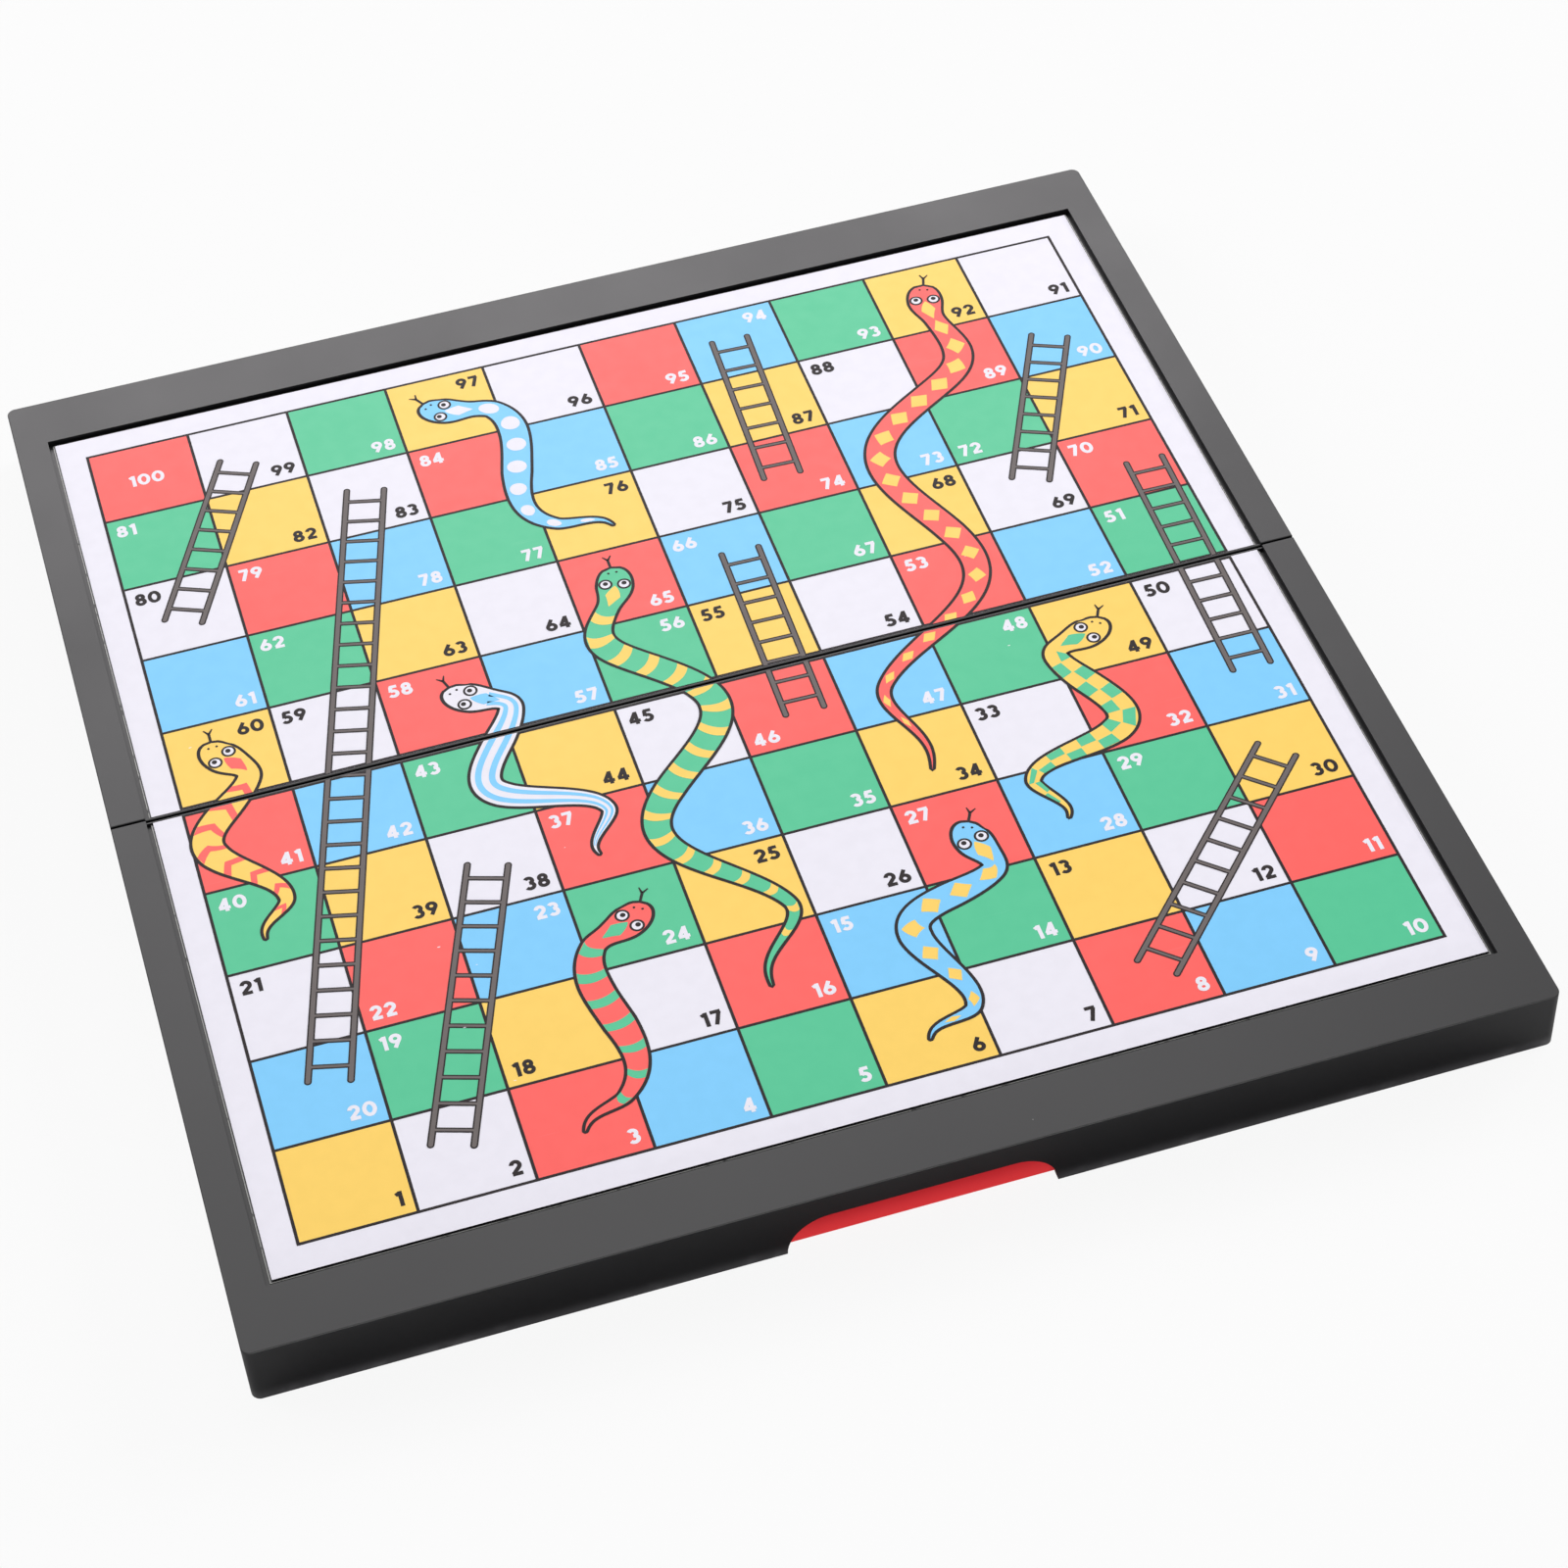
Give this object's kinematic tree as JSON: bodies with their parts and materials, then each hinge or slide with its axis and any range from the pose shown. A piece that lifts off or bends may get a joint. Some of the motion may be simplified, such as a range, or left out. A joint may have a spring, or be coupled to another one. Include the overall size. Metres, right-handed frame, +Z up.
{
  "type": "snakes and ladders board",
  "caption": "Folding snakes and ladders board: hollow moulded halves with a printed playing surface, joined by a link hinge, closing into a case with storage trays.",
  "frame": {"origin": "on the table under the middle of the fold, at the centre of the flat board's underside", "axes": "+X along the fold to the right, +Y across the fold to the rear half, +Z up through the printed surface"},
  "size_m": [0.25, 0.262, 0.014],
  "materials": {
    "black_plastic": "moulded, satin sheen",
    "plate_steel": "bright thin sheet",
    "printed_sheet": "laminated print in bright colours",
    "red_plastic": "moulded, satin sheen",
    "link_plastic": "moulded, matt",
    "pin_steel": "drawn rod",
    "magnet_metal": "nickel plated"
  },
  "bodies": {
    "front_half": {"front_shell": "black_plastic", "front_steel_plate": "plate_steel", "front_print_sheet": "printed_sheet", "front_tray": "red_plastic", "front_left_hinge_pin": "pin_steel", "front_right_hinge_pin": "pin_steel", "front_left_magnet": "magnet_metal", "front_right_magnet": "magnet_metal"},
    "hinge_links": {"left_hinge_link": "link_plastic", "right_hinge_link": "link_plastic"},
    "rear_half": {"rear_shell": "black_plastic", "rear_steel_plate": "plate_steel", "rear_print_sheet": "printed_sheet", "rear_tray": "red_plastic", "rear_left_hinge_pin": "pin_steel", "rear_right_hinge_pin": "pin_steel", "rear_left_magnet": "magnet_metal", "rear_right_magnet": "magnet_metal"}
  },
  "joints": [
    {"name": "link_fold", "type": "hinge", "parent": "front_half", "child": "hinge_links", "pos_m": [0, -0.00375, 0.0035], "axis": [-1, 0, 0], "range_deg": [0, 90]},
    {"name": "rear_fold", "type": "hinge", "parent": "hinge_links", "child": "rear_half", "pos_m": [0, 0.00375, 0.0035], "axis": [-1, 0, 0], "range_deg": [0, 90]}
  ],
  "couplings": [
    {"joint": "rear_fold", "follows": "link_fold", "ratio": 1}
  ]
}
